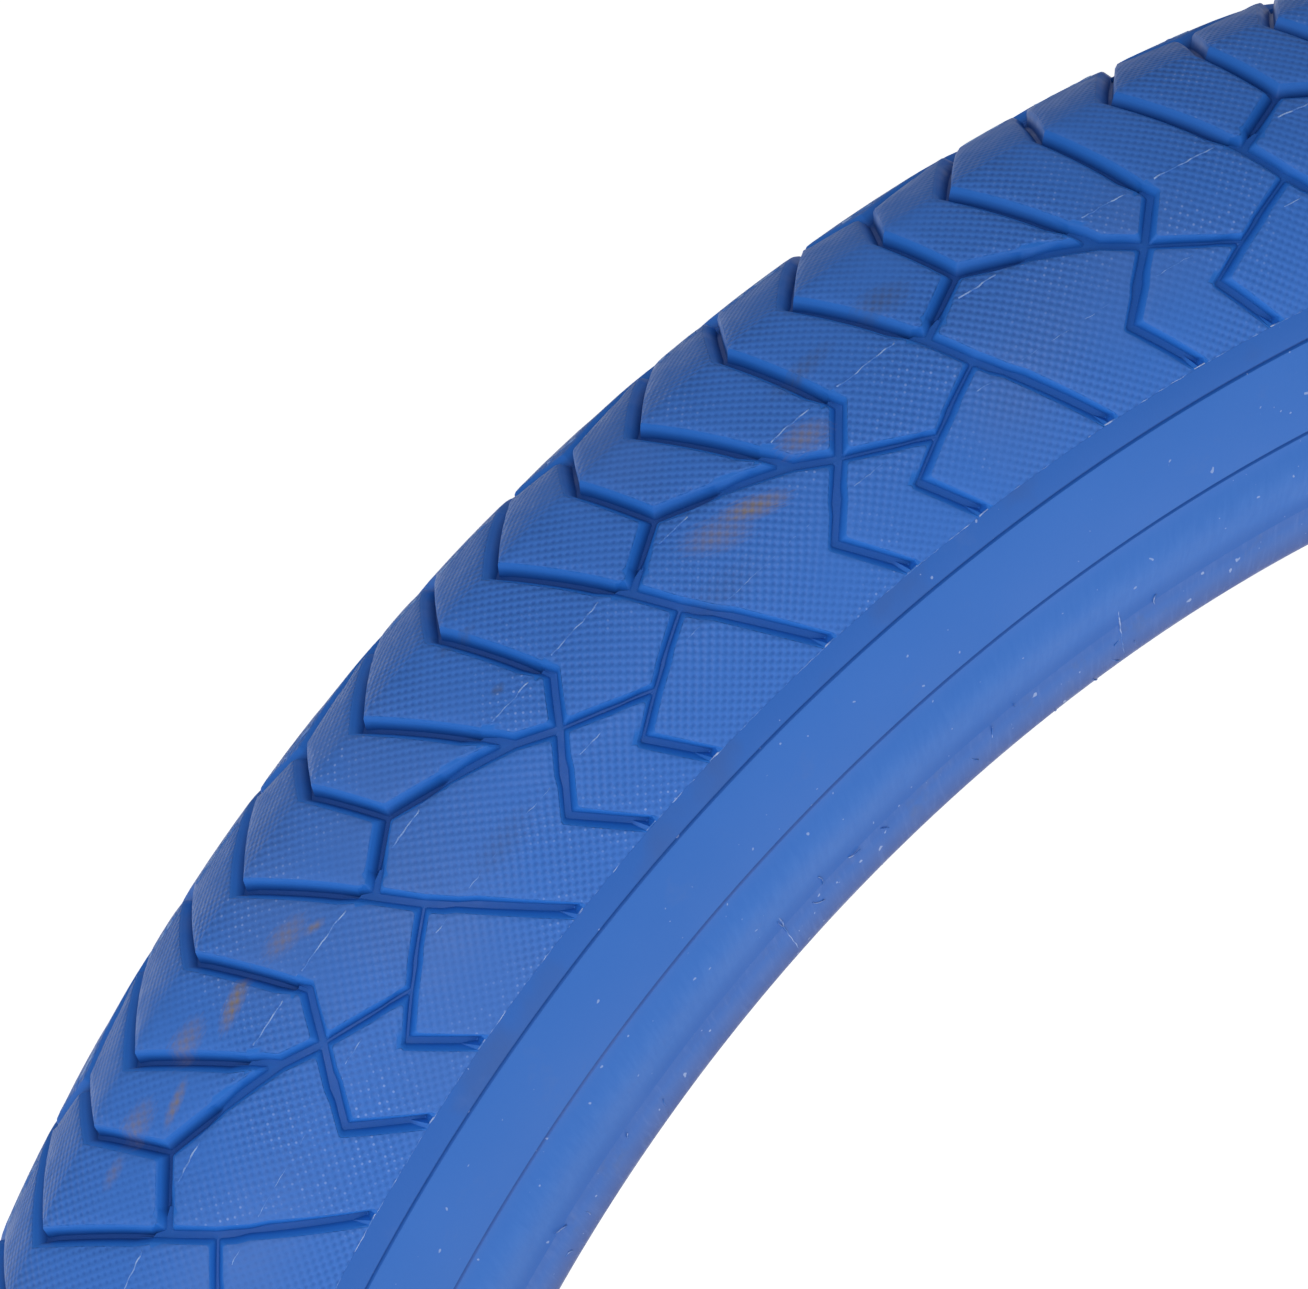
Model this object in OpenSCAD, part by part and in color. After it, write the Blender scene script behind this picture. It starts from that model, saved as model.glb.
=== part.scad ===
// Bicycle tire, wired-on type, off its rim, 20 x 2.4 in (ISO 62-406).
// The wheel centre is the origin and the wheel's axis lies along Y.
// In every 2D section, x is the distance from the axis and y the distance from the centre plane.

/* [Size] */
// Radius over the crown of the tread
crown_r = 266; // [265:0.5:268]
// Radius of the seat that each bead makes on the rim
bead_seat_r = 202.8; // [202:0.1:203.5]

/* [Tread] */
// Number of times the block pattern repeats round the tire
repeats = 32; // [28:1:36]
// Width of a groove between two blocks
groove_w = 1.8; // [1:0.1:2.4]
// Depth of a groove below the blocks
groove_depth = 1.9; // [1:0.1:2]
// Angle of the first long groove's point, round the wheel's axis
pattern_phase = 4.6; // [0:0.1:11]
// Fall of the tread surface at the crown line, which leaves a faint ridge
crown_slope = 12.3; // [8:0.1:14]

/* [Casing] */
// Thickness of one rubbered cord ply
ply_t = 0.6; // [0.4:0.05:0.7]
// Thickness of the puncture strip under the tread
breaker_t = 0.6; // [0.3:0.05:0.7]
// Half-width of the air space inside the casing at its widest
cavity_half_w = 24.6; // [24:0.1:25]

/* [Beads] */
// Thickness of one steel wire in the bead
wire_d = 0.96; // [0.8:0.02:0.98]
// Thickness of the cloth wrapped round the wires
wrap_t = 0.4; // [0.2:0.05:0.5]
// Thickness of the chafer strip over the bead
chafer_t = 0.6; // [0.4:0.05:0.7]
// Outer radius of the round bead, seen in section
bead_round_r = 3.2; // [3:0.1:3.4]

/* [Hidden] */
$fn = 96;

// Outer skin: crown arc, shoulder arc, sidewall arc, then a straight leg to the bead.
crown_arc_r = 58;
shoulder_arc_r = 27;
side_arc_r = 60;
shoulder_start = 28;
tread_edge = 81;
leg_tilt = 13.6;
crown_centre = [crown_r - crown_arc_r * cos(crown_slope), -crown_arc_r * sin(crown_slope)];
shoulder_centre = crown_centre + (crown_arc_r - shoulder_arc_r) * [cos(shoulder_start), sin(shoulder_start)];
side_centre = shoulder_centre - [0, side_arc_r - shoulder_arc_r];
leg_top = on_arc(side_centre, side_arc_r, 90 + leg_tilt);

// Round bead: its outer leg is in line with the sidewall's straight leg, and its underside is
// cut flat where it sits on the rim.
seat_cut = 0.35;
bead_r = bead_seat_r + bead_round_r - seat_cut;
leg_line_w = leg_top[1] - (leg_top[0] - bead_r) * tan(leg_tilt);
bead_centre = [bead_r, leg_line_w - bead_round_r / cos(leg_tilt)];
ply_round_r = bead_round_r - chafer_t;
wrap_round_r = ply_round_r - ply_t;
inner_leg_tilt = 25;
under_steps = 16;
over_steps = 14;
turn_up_len = 14.6;
chafer_outer_len = 5.2;
chafer_inner_len = 2.5;
wire_pitch = wire_d + 0.02;

// Casing: one round arc over the air space, a nearly straight wall and a leg to the bead.
casing_centre = [shoulder_centre[0], 1];
cavity_arc_r = cavity_half_w - casing_centre[1];
wall_tilt = 2;
casing_edge = 80;
breaker_edge = 45;
arc_step = 5;

// Groove routes on one half of one repeat: each point is [distance down from the crown line
// along the surface, fraction of a repeat round the tire].
crown_point = [0, 0];
upper_bend = [17.6, -0.185];
lower_bend = [23.7, -0.249];
edge_mouth = [41.5, -0.487];
fork = [12, -0.365];
diagonal_end = [23.1, -0.81];
GROOVES = [[crown_point, upper_bend, lower_bend, edge_mouth],
           [fork, diagonal_end]];

function on_arc(centre, r, a) = centre + r * [cos(a), sin(a)];
function arc(centre, r, from, to, steps) =
    [for (i = [0 : steps]) on_arc(centre, r, from + (to - from) * i / steps)];
function reversed(path) = [for (i = [len(path) - 1 : -1 : 0]) path[i]];
function unit(v) = v / norm(v);

// Where the line through p at angle a meets the line through q at angle b.
function crossing(p, a, q, b) =
    let (d = q - p, k = (d[0] * sin(b) - d[1] * cos(b)) / sin(b - a))
    p + k * [cos(a), sin(a)];

// A point of the bead's legs: beside the round of radius r, and so far up the leg.
function outer_leg(r, up) = bead_centre + r * [-sin(leg_tilt), cos(leg_tilt)]
                            + up * [cos(leg_tilt), sin(leg_tilt)];
function inner_leg(r, up) = bead_centre + r * [sin(inner_leg_tilt), -cos(inner_leg_tilt)]
                            + up * [cos(inner_leg_tilt), sin(inner_leg_tilt)];

// The casing's surface at depth t outside the air space, from a bead to the centre plane.
function casing_arc(t, from, to) =
    [for (a = [from : -arc_step : to]) on_arc(casing_centre, cavity_arc_r + t, a)];
function casing_crown(t, from) =
    let (r = cavity_arc_r + t)
    concat(casing_arc(t, from, 0),
           [[casing_centre[0] + sqrt(r * r - casing_centre[1] * casing_centre[1]), 0]]);
function wall_top(t) = on_arc(casing_centre, cavity_arc_r + t, 90 + wall_tilt);
function knee(t) = crossing(inner_leg(ply_round_r - t, 0), inner_leg_tilt, wall_top(t), wall_tilt);
function casing_path(t) = concat([knee(t), wall_top(t)], casing_crown(t, casing_edge));

// The line under the bead at radius r, from its outer leg to its inner leg.
function bead_path(r) =
    arc(bead_centre, r, 90 + leg_tilt, 270 + inner_leg_tilt, under_steps);
function bead_loop(r) =
    let (over = arc(bead_centre, r, 270 + inner_leg_tilt, 450 + leg_tilt, over_steps))
    concat(bead_path(r), [for (i = [1 : over_steps - 1]) over[i]]);

// The other half of a line that ends on the centre plane.
function far_half(path) = [for (i = [len(path) - 2 : -1 : 0]) [path[i][0], -path[i][1]]];
function whole(path) = concat(path, far_half(path));

// The outer skin, from the crown line to the tread's edge and from there to the bead.
function crown_path() = arc(crown_centre, crown_arc_r, crown_slope, shoulder_start, 5);
function shoulder_path() = arc(shoulder_centre, shoulder_arc_r, shoulder_start, tread_edge, 10);
function side_path() =
    concat(arc(shoulder_centre, shoulder_arc_r, tread_edge, 90, 2),
           arc(side_centre, side_arc_r, 90, 90 + leg_tilt, 3),
           [outer_leg(bead_round_r, chafer_outer_len)]);

// The skin's point and outward angle at a distance down from the crown line.
repeat_len = 2 * PI * crown_r / repeats;
crown_len = crown_arc_r * (shoulder_start - crown_slope) * PI / 180;
function skin_angle(down) =
    down < crown_len ? crown_slope + down / crown_arc_r * 180 / PI
                     : shoulder_start + (down - crown_len) / shoulder_arc_r * 180 / PI;
function skin_point(down) =
    down < crown_len ? on_arc(crown_centre, crown_arc_r, skin_angle(down))
                     : on_arc(shoulder_centre, shoulder_arc_r, skin_angle(down));
function round_wheel(p, turn) = [p[0] * cos(turn), -p[1], p[0] * sin(turn)];
function place(at) = round_wheel(skin_point(at[0]), at[1] * 360 / repeats);
function outward(at) =
    let (a = skin_angle(at[0]), turn = at[1] * 360 / repeats)
    [cos(a) * cos(turn), -sin(a), cos(a) * sin(turn)];

// Turns a section about the wheel's axis.
module revolve() {
    rotate([-90, 0, 0]) rotate_extrude() children();
}

module both_sides() {
    children();
    mirror([0, 1, 0]) children();
}

// In a section, the two halves of the tire.
module both_halves() {
    children();
    mirror([0, 1]) children();
}

// A layer that crosses the whole section, between two half lines.
module layer(inner, outer) {
    polygon(concat(whole(inner), reversed(whole(outer))));
}

// One straight cut between two points of a groove's route. The surface bulges between them,
// so the cut is shallower than the groove at its ends and deeper in its middle.
module groove_cut(from, to) {
    p = place(from);
    q = place(to);
    along = unit(q - p);
    across = unit(cross(outward((from + to) / 2), along));
    up = cross(along, across);
    bulge = pow(to[0] - from[0], 2) / (8 * shoulder_arc_r)
            + pow((to[1] - from[1]) * repeat_len, 2) / (8 * crown_r);
    bottom = groove_depth - bulge / 2;
    multmatrix([[along[0], across[0], up[0], p[0]],
                [along[1], across[1], up[1], p[1]],
                [along[2], across[2], up[2], p[2]]])
        translate([-groove_w / 2, -groove_w / 2, -bottom])
            cube([norm(q - p) + groove_w, groove_w, bottom + 3]);
}

module groove(route) {
    for (i = [0 : len(route) - 2]) groove_cut(route[i], route[i + 1]);
}

module tread_pattern() {
    for (n = [0 : repeats - 1])
        rotate([0, -pattern_phase - n * 360 / repeats, 0])
            both_sides() for (route = GROOVES) groove(route);
}

module tread() {
    skin = reversed(concat(crown_path(), shoulder_path()));
    back = concat(casing_arc(2 * ply_t, casing_edge, breaker_edge),
                  casing_crown(2 * ply_t + breaker_t, breaker_edge));
    color("royalblue") difference() {
        revolve() layer(back, skin);
        tread_pattern();
    }
}

module breaker_strip() {
    color("khaki") revolve()
        layer(casing_crown(2 * ply_t, breaker_edge), casing_crown(2 * ply_t + breaker_t, breaker_edge));
}

// Runs from bead to bead and ends beside the wrapped wires.
module outer_ply() {
    color("wheat") revolve() difference() {
        layer(concat([inner_leg(wrap_round_r, 0)], casing_path(ply_t)),
              concat([inner_leg(wrap_round_r - ply_t, 0)], casing_path(2 * ply_t)));
        both_halves() polygon(bead_loop(wrap_round_r));
    }
}

// Runs from bead to bead, goes round the wires and turns up outside them.
module inner_ply() {
    color("burlywood") revolve()
        layer(concat([outer_leg(ply_round_r, turn_up_len)], bead_path(ply_round_r), casing_path(0)),
              concat([outer_leg(wrap_round_r, turn_up_len)], bead_path(wrap_round_r),
                     casing_path(ply_t)));
}

module sidewall() {
    color("steelblue") revolve()
        polygon(concat(side_path(),
                       [outer_leg(ply_round_r, chafer_outer_len),
                        outer_leg(ply_round_r, turn_up_len),
                        outer_leg(wrap_round_r, turn_up_len),
                        knee(2 * ply_t), wall_top(2 * ply_t),
                        on_arc(casing_centre, cavity_arc_r + 2 * ply_t, casing_edge)]));
}

// Seven wires: one in the middle and six round it.
module bead_wires() {
    color("silver") revolve() translate(bead_centre) {
        circle(d = wire_d);
        for (a = [0 : 60 : 300]) rotate(a) translate([wire_pitch, 0]) circle(d = wire_d);
    }
}

module bead_wrap() {
    color("white") revolve() difference() {
        polygon(bead_loop(wrap_round_r));
        translate(bead_centre) circle(wrap_round_r - wrap_t);
    }
}

module bead_filler() {
    color("dimgray") revolve() difference() {
        polygon([inner_leg(wrap_round_r - ply_t, 0), knee(2 * ply_t),
                 outer_leg(wrap_round_r, turn_up_len), outer_leg(wrap_round_r, 0)]);
        polygon(bead_loop(wrap_round_r));
    }
}

module chafer() {
    color("slateblue") revolve() intersection() {
        polygon(concat([outer_leg(bead_round_r, chafer_outer_len)], bead_path(bead_round_r),
                       [inner_leg(bead_round_r, chafer_inner_len),
                        inner_leg(ply_round_r, chafer_inner_len)],
                       reversed(bead_path(ply_round_r)),
                       [outer_leg(ply_round_r, chafer_outer_len)]));
        translate([bead_seat_r, 0]) square(cavity_half_w * 2);
    }
}

// The left side faces -Y.
module left() {
    mirror([0, 1, 0]) children();
}

tread();
breaker_strip();
outer_ply();
inner_ply();
left() sidewall();  // left_sidewall
sidewall();  // right_sidewall
left() bead_wires();  // left_bead_wires
bead_wires();  // right_bead_wires
left() bead_wrap();  // left_bead_wrap
bead_wrap();  // right_bead_wrap
left() bead_filler();  // left_bead_filler
bead_filler();  // right_bead_filler
left() chafer();  // left_chafer
chafer();  // right_chafer
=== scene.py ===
import math
import random

import bmesh
import bpy
from mathutils import Matrix, Vector, noise
from mathutils.geometry import delaunay_2d_cdt


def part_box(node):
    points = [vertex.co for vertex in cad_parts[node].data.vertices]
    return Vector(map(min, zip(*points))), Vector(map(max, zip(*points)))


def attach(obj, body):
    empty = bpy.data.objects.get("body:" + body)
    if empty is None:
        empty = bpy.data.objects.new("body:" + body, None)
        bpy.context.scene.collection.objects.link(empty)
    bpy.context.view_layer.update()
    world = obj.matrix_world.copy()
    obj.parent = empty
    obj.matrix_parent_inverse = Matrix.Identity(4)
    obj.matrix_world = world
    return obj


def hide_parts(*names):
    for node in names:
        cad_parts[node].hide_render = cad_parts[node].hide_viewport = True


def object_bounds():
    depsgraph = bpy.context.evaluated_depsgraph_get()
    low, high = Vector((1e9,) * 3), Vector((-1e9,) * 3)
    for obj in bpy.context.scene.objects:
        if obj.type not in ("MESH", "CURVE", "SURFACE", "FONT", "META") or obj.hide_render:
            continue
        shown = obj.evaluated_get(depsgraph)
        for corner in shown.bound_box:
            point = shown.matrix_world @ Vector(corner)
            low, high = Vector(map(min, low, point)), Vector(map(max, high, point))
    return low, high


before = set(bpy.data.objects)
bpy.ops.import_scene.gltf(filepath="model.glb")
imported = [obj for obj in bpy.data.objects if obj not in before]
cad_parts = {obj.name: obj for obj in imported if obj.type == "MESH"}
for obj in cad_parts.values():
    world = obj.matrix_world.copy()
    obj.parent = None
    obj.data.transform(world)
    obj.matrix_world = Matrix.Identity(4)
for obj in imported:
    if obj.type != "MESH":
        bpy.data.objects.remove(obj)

CAD_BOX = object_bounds()

# The wheel's centre is the origin and its axis lies along Y. Sections are drawn in millimetres:
# r is the distance from the axis and w the distance from the centre plane. The camera sees the
# left side, which faces -Y.
MM = 0.001
DEG = math.pi / 180
CROWN_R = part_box("tread")[1].z / MM

# ---------------------------------------------------------------------------------------------
# The tire's section: crown arc, shoulder arc, sidewall arc, straight leg and round bead. Radii
# are in millimetres. Angles are in degrees from the crown's outward direction.
# ---------------------------------------------------------------------------------------------
CROWN_SLOPE = 12.3
SHOULDER_START = 28.0
TREAD_EDGE_ANGLE = 81.0
LEG_TILT = 13.6
CROWN_ARC = 58.0
SHOULDER_ARC = 27.0
SIDE_ARC = 60.0
BEAD_ARC = 3.2
BEAD_CENTRE = (205.65, 20.125)
SEAT_R = 202.8


def arc_length(radius, turn):
    """The length of an arc that turns through so many degrees."""
    return radius * turn * DEG


def on_arc(centre, radius, angle):
    """The (r, w) point at an angle on an arc."""
    return (centre[0] + radius * math.cos(angle * DEG), centre[1] + radius * math.sin(angle * DEG))


CROWN_CENTRE = on_arc((CROWN_R, 0), -CROWN_ARC, CROWN_SLOPE)
SHOULDER_CENTRE = on_arc(CROWN_CENTRE, CROWN_ARC - SHOULDER_ARC, SHOULDER_START)
SIDE_CENTRE = (SHOULDER_CENTRE[0], SHOULDER_CENTRE[1] + SHOULDER_ARC - SIDE_ARC)
LEG_TOP = on_arc(SIDE_CENTRE, SIDE_ARC, 90 + LEG_TILT)
LEG_LEN = math.dist(LEG_TOP, on_arc(BEAD_CENTRE, BEAD_ARC, 90 + LEG_TILT))

# Distances down the skin from the crown line.
CROWN_LEN = arc_length(CROWN_ARC, SHOULDER_START - CROWN_SLOPE)
TREAD_EDGE = CROWN_LEN + arc_length(SHOULDER_ARC, TREAD_EDGE_ANGLE - SHOULDER_START)
STEP_LINE = CROWN_LEN + arc_length(SHOULDER_ARC, 90 - SHOULDER_START)
PANEL_END = STEP_LINE + arc_length(SIDE_ARC, LEG_TILT)
BEAD_START = PANEL_END + LEG_LEN
CHAFER_UP_LEG = 5.2
CREASE = BEAD_START - CHAFER_UP_LEG
UNDER_BEAD_TURN = 191.4
SKIN_END = BEAD_START + arc_length(BEAD_ARC, UNDER_BEAD_TURN)


def skin(down, depth=0.0):
    """The section's point at a distance down the skin from the crown line, sunk by depth."""
    rest = down
    for centre, radius, start, end in (
        (CROWN_CENTRE, CROWN_ARC, CROWN_SLOPE, SHOULDER_START),
        (SHOULDER_CENTRE, SHOULDER_ARC, SHOULDER_START, 90.0),
        (SIDE_CENTRE, SIDE_ARC, 90.0, 90.0 + LEG_TILT),
    ):
        length = arc_length(radius, end - start)
        if rest <= length:
            r, w = on_arc(centre, radius - depth, start + rest / radius / DEG)
            return (r, max(w, 0.0))
        rest -= length
    if rest <= LEG_LEN:
        along = on_arc((0, 0), rest, 180 + LEG_TILT)
        out = on_arc((0, 0), -depth, 90 + LEG_TILT)
        return (LEG_TOP[0] + along[0] + out[0], LEG_TOP[1] + along[1] + out[1])
    rest -= LEG_LEN
    r, w = on_arc(BEAD_CENTRE, BEAD_ARC - depth, 90 + LEG_TILT + rest / BEAD_ARC / DEG)
    return (max(r, SEAT_R), w)


def skin_angle(down):
    """The outward direction of the tread's skin, in degrees."""
    if down < CROWN_LEN:
        return CROWN_SLOPE + down / CROWN_ARC / DEG
    return SHOULDER_START + (down - CROWN_LEN) / SHOULDER_ARC / DEG


def around(section_point, angle, side):
    """A section's point turned to an angle about the wheel's axis; side is -1 on the left."""
    r, w = section_point
    return Vector((r * math.cos(angle), side * w, r * math.sin(angle))) * MM


# ---------------------------------------------------------------------------------------------
# Camera and light. Places are in metres, angles in degrees and the lens in millimetres.
# ---------------------------------------------------------------------------------------------
AIM = Vector((-0.1485, -0.0136, 0.1996))
LOOK_AZIMUTH = 29.81
LOOK_DOWN = 24.61
CAMERA_DISTANCE = 1.287
LENS = 275.7
FLOOR_GAP = 0.004
FLOOR_HALF_WIDTH = 6.0


def look_direction(azimuth, down):
    """The direction of a look that turns right from +Y by the azimuth and then tips down."""
    level = math.cos(down * DEG)
    return Vector((math.sin(azimuth * DEG) * level, math.cos(azimuth * DEG) * level, -math.sin(down * DEG)))


def add_camera():
    data = bpy.data.cameras.new("camera")
    data.lens = LENS
    data.sensor_width = 36
    data.clip_start = 0.01
    camera = bpy.data.objects.new("camera", data)
    direction = look_direction(LOOK_AZIMUTH, LOOK_DOWN)
    camera.location = AIM - direction * CAMERA_DISTANCE
    camera.rotation_euler = direction.to_track_quat("-Z", "Y").to_euler()
    bpy.context.scene.collection.objects.link(camera)
    bpy.context.scene.camera = camera


def add_softbox(name, azimuth, height, distance, size, power):
    """A square area light aimed at the middle of the camera's view. Its azimuth and height say
    which way it shines, as for the camera."""
    data = bpy.data.lights.new(name, "AREA")
    data.size = size
    data.energy = power
    light = bpy.data.objects.new(name, data)
    direction = look_direction(azimuth, height)
    light.location = AIM - direction * distance
    light.rotation_euler = direction.to_track_quat("-Z", "Y").to_euler()
    bpy.context.scene.collection.objects.link(light)


def add_world(strength):
    """Even pale light from all round."""
    world = bpy.data.worlds.new("studio")
    world.use_nodes = True
    background = world.node_tree.nodes["Background"]
    background.inputs["Color"].default_value = (0.97, 0.98, 1.0, 1)
    background.inputs["Strength"].default_value = strength
    bpy.context.scene.world = world


def add_floor():
    """A large sheet of paper just under the tire. It glows a little, so that it stays white."""
    mesh = bpy.data.meshes.new("floor")
    level = CAD_BOX[0][2] - FLOOR_GAP
    half = FLOOR_HALF_WIDTH
    corners = [(-half, -half, level), (half, -half, level), (half, half, level), (-half, half, level)]
    mesh.from_pydata(corners, [], [(0, 1, 2, 3)])
    floor = bpy.data.objects.new("floor", mesh)
    bpy.context.scene.collection.objects.link(floor)
    material = bpy.data.materials.new("floor_paper")
    material.use_nodes = True
    shader = material.node_tree.nodes["Principled BSDF"]
    shader.inputs["Base Color"].default_value = (0.93, 0.93, 0.93, 1)
    shader.inputs["Roughness"].default_value = 0.9
    shader.inputs["Emission Color"].default_value = (1, 1, 1, 1)
    shader.inputs["Emission Strength"].default_value = 0.72
    mesh.materials.append(material)


# ---------------------------------------------------------------------------------------------
# Tread pattern: the groove lines of one half of one repeat, as points of
# (fraction of a repeat, millimetres down from the crown line), and the blocks between them.
# A plus sign moves a point on by one repeat. The other half is the mirror image.
# ---------------------------------------------------------------------------------------------
REPEATS = 32
REPEAT_ANGLE = 2 * math.pi / REPEATS
FIRST_POINT = 4.62 * DEG
FLAT_PITCH = 50.0

GROOVE_POINTS = {
    "L": (0.0, 0.0),
    "A": (0.289, 0.0),
    "B": (0.496, 0.0),
    "C": (0.788, 0.0),
    "V": (0.365, 12.04),
    "W": (0.185, 17.63),
    "T": (0.249, 23.71),
    "J": (0.707, 19.8),
    "X": (0.810, 23.14),
    "K": (0.900, 17.42),
    "M": (0.656, 31.51),
    "D": (1.048, 28.99),
    "H": (0.934, 32.31),
    "F": (0.481, TREAD_EDGE),
    "N": (0.787, TREAD_EDGE),
    "I": (1.039, TREAD_EDGE),
}
BLOCKS = [
    "L A V W",
    "A B J V",
    "B C K X J",
    "C L+ W+ T+ D X K",
    "W V J X M N F T",
    "X D H I N M",
    "D T+ F+ I H",
]

# The mould's rings met at two lines on each half, where the grooves narrow and jog sideways.
RING_JOINT = 15.7
OUTER_JOINT = 27.3
JOINT_HALF = 0.12
RING_SLIP = 0.30
OUTER_SLIP = 0.22
SLIP_REACH = 2.5

# The grooves run out to nothing in a short steep wall at the tread's edge.
GROOVE_END = 0.25

# Outlines are cut where they cross one of these distances down the skin.
CUT_LINES = [
    RING_JOINT - JOINT_HALF,
    RING_JOINT + JOINT_HALF,
    OUTER_JOINT - JOINT_HALF,
    OUTER_JOINT + JOINT_HALF,
    TREAD_EDGE - GROOVE_END,
]

# Grooves are thinner beside the thin points, outside the first joint.
CENTRE_HALF_WIDTH = 1.15
SIDE_HALF_WIDTH = 1.05
THIN_HALF_WIDTH = 0.78
THIN_POINTS = {"D"}

# Distances between the mesh's points along an outline and over a block's top.
MESH_STEP = 2.6
CAP_STEP = 3.0

# A groove's wall, from the floor up to the block's domed top, as (millimetres in from the
# groove's half-width, depth): in the middle of the tread, and outside the first joint.
CENTRE_WALL = [(-0.88, 2.00), (-0.10, 0.48), (0.30, 0.20), (1.50, 0.10), (6.0, 0.0)]
SIDE_WALL = [(-0.62, 1.40), (-0.05, 0.26), (0.20, 0.08), (0.90, 0.03), (4.0, 0.0)]
CORNER_RADII = [0.25, 0.5, 0.6, 0.8]
FIRST_TOP_RING = 2

# The knurl on the block tops: rows this far apart, leaning so many degrees.
KNURL_PITCH = 1.03
KNURL_LEAN = 45

# How deep the tread's outer edge and its back lie under the skin.
TREAD_SIDE_DEPTH = 1.3
TREAD_BACK_DEPTH = 2.6


def groove_point(name):
    """The flat place of a named point."""
    u, down = GROOVE_POINTS[name.rstrip("+")]
    return Vector(((u + name.count("+")) * FLAT_PITCH, down))


def mould_slip(down):
    """How far the pattern is pushed round the tire beside a mould joint."""
    slip = 0.0
    for line, amount in ((RING_JOINT, RING_SLIP), (OUTER_JOINT, OUTER_SLIP)):
        off = down - line
        slip += amount * max(-1.0, min(1.0, off / JOINT_HALF)) * math.exp(-abs(off) / SLIP_REACH)
    return slip


def half_width(point, thin):
    """Half the width of the groove at a flat point."""
    if point.y < RING_JOINT:
        return CENTRE_HALF_WIDTH
    return THIN_HALF_WIDTH if thin else SIDE_HALF_WIDTH


def wall_at(down):
    """The wall's profile at a distance down the skin."""
    return CENTRE_WALL if down < RING_JOINT else SIDE_WALL


class Side:
    """One straight side of a block's outline, with the groove's half-width beside it. A side
    on the crown line or the tread's edge has no groove and a half-width of nought."""

    def __init__(self, start, end, half_width):
        self.start = start
        self.end = end
        self.half_width = half_width
        self.along = (end - start).normalized()
        self.inward = Vector((-self.along.y, self.along.x))
        self.wall = wall_at((start.y + end.y) / 2)

    def gap(self, ring):
        """How far in from this side one ring of the wall lies."""
        return self.half_width + self.wall[ring][0] if self.half_width else 0.0

    def clearance(self, point):
        """How far a point is from the groove beside this side."""
        span = self.end - self.start
        t = max(0.0, min(1.0, (point - self.start).dot(span) / span.length_squared))
        return (self.start + span * t - point).length - self.half_width


def sunk(point, sides):
    """(depth, whether it is on the block's top) at a point."""
    wall = wall_at(point.y)
    clear = min(side.clearance(point) for side in sides if side.half_width)
    on_top = clear > wall[FIRST_TOP_RING][0] - 0.05
    depth = wall[0][1]
    for (near, low), (far, high) in zip(wall, wall[1:]):
        if clear > near:
            depth = low + (high - low) * min(1.0, (clear - near) / (far - near))
    return depth * min(1.0, max(0.0, TREAD_EDGE - point.y) / GROOVE_END), on_top


def block_sides(names):
    """The block's sides, split where they cross a mould joint and just inside the tread's edge."""
    names = names.split()
    points = [groove_point(n) for n in names]
    area = sum(a.cross(b) for a, b in zip(points, points[1:] + points[:1]))
    if area < 0:
        names.reverse()
        points.reverse()
    sides = []
    for i, start in enumerate(points):
        end = points[(i + 1) % len(points)]
        pair = (names[i].rstrip("+"), names[(i + 1) % len(points)].rstrip("+"))
        has_groove = not on_border(start, end)
        cuts = [0.0, 1.0]
        for line in CUT_LINES:
            if (start.y - line) * (end.y - line) < 0:
                cuts.append((line - start.y) / (end.y - start.y))
        cuts.sort()
        for t0, t1 in zip(cuts, cuts[1:]):
            a = start.lerp(end, t0)
            b = start.lerp(end, t1)
            width = 0.0
            if has_groove:
                middle = (a + b) / 2
                width = half_width(middle, THIN_POINTS & set(pair))
            sides.append(Side(a, b, width))
    return sides


def crossing(p, along, q, other):
    """Where the line through p meets the line through q."""
    turn = along.cross(other)
    return p + along * ((q - p).cross(other) / turn)


def inset(sides, ring):
    """The outline moved in from each groove to one ring of the wall, as a list of
    (point, rounds) where rounds is true at a real corner."""
    moved = []
    for i, side in enumerate(sides):
        before = sides[i - 1]
        gap_before = before.gap(ring)
        gap = side.gap(ring)
        bend = abs(before.along.cross(side.along))
        if bend > 0.05:
            corner = crossing(before.start + before.inward * gap_before, before.along,
                              side.start + side.inward * gap, side.along)
            moved.append((corner, bool(before.half_width and side.half_width)))
        elif abs(gap_before - gap) > 0.01:
            moved.append((side.start + before.inward * gap_before, False))
            moved.append((side.start + side.inward * gap, False))
        else:
            moved.append((side.start + side.inward * gap, False))
    return snapped(moved)


def snapped(outline):
    """The outline with its points put exactly on the crown line or the tread's edge."""
    for corner, _ in outline:
        for line in (0.0, TREAD_EDGE):
            if abs(corner.y - line) < 1e-3:
                corner.y = line
    return outline


def rounded(outline, radius):
    """The outline with each real corner turned into a short arc."""
    result = []
    count = len(outline)
    for i, (corner, rounds) in enumerate(outline):
        before = outline[i - 1][0]
        after = outline[(i + 1) % count][0]
        u = (before - corner).normalized()
        v = (after - corner).normalized()
        half = math.acos(max(-1.0, min(1.0, u.dot(v)))) / 2
        if not rounds or half > 75 * DEG:
            result.append(corner)
            continue
        cut = min(radius / math.tan(half), 0.4 * (before - corner).length, 0.4 * (after - corner).length)
        for t in (0.0, 0.3, 0.7, 1.0):
            p = (corner + u * cut).lerp(corner, t).lerp(corner.lerp(corner + v * cut, t), t)
            result.append(p)
    return result


def on_border(start, end):
    """Whether a side lies on the crown line or on the tread's edge."""
    return any(abs(start.y - line) + abs(end.y - line) < 1e-3 for line in (0.0, TREAD_EDGE))


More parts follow.
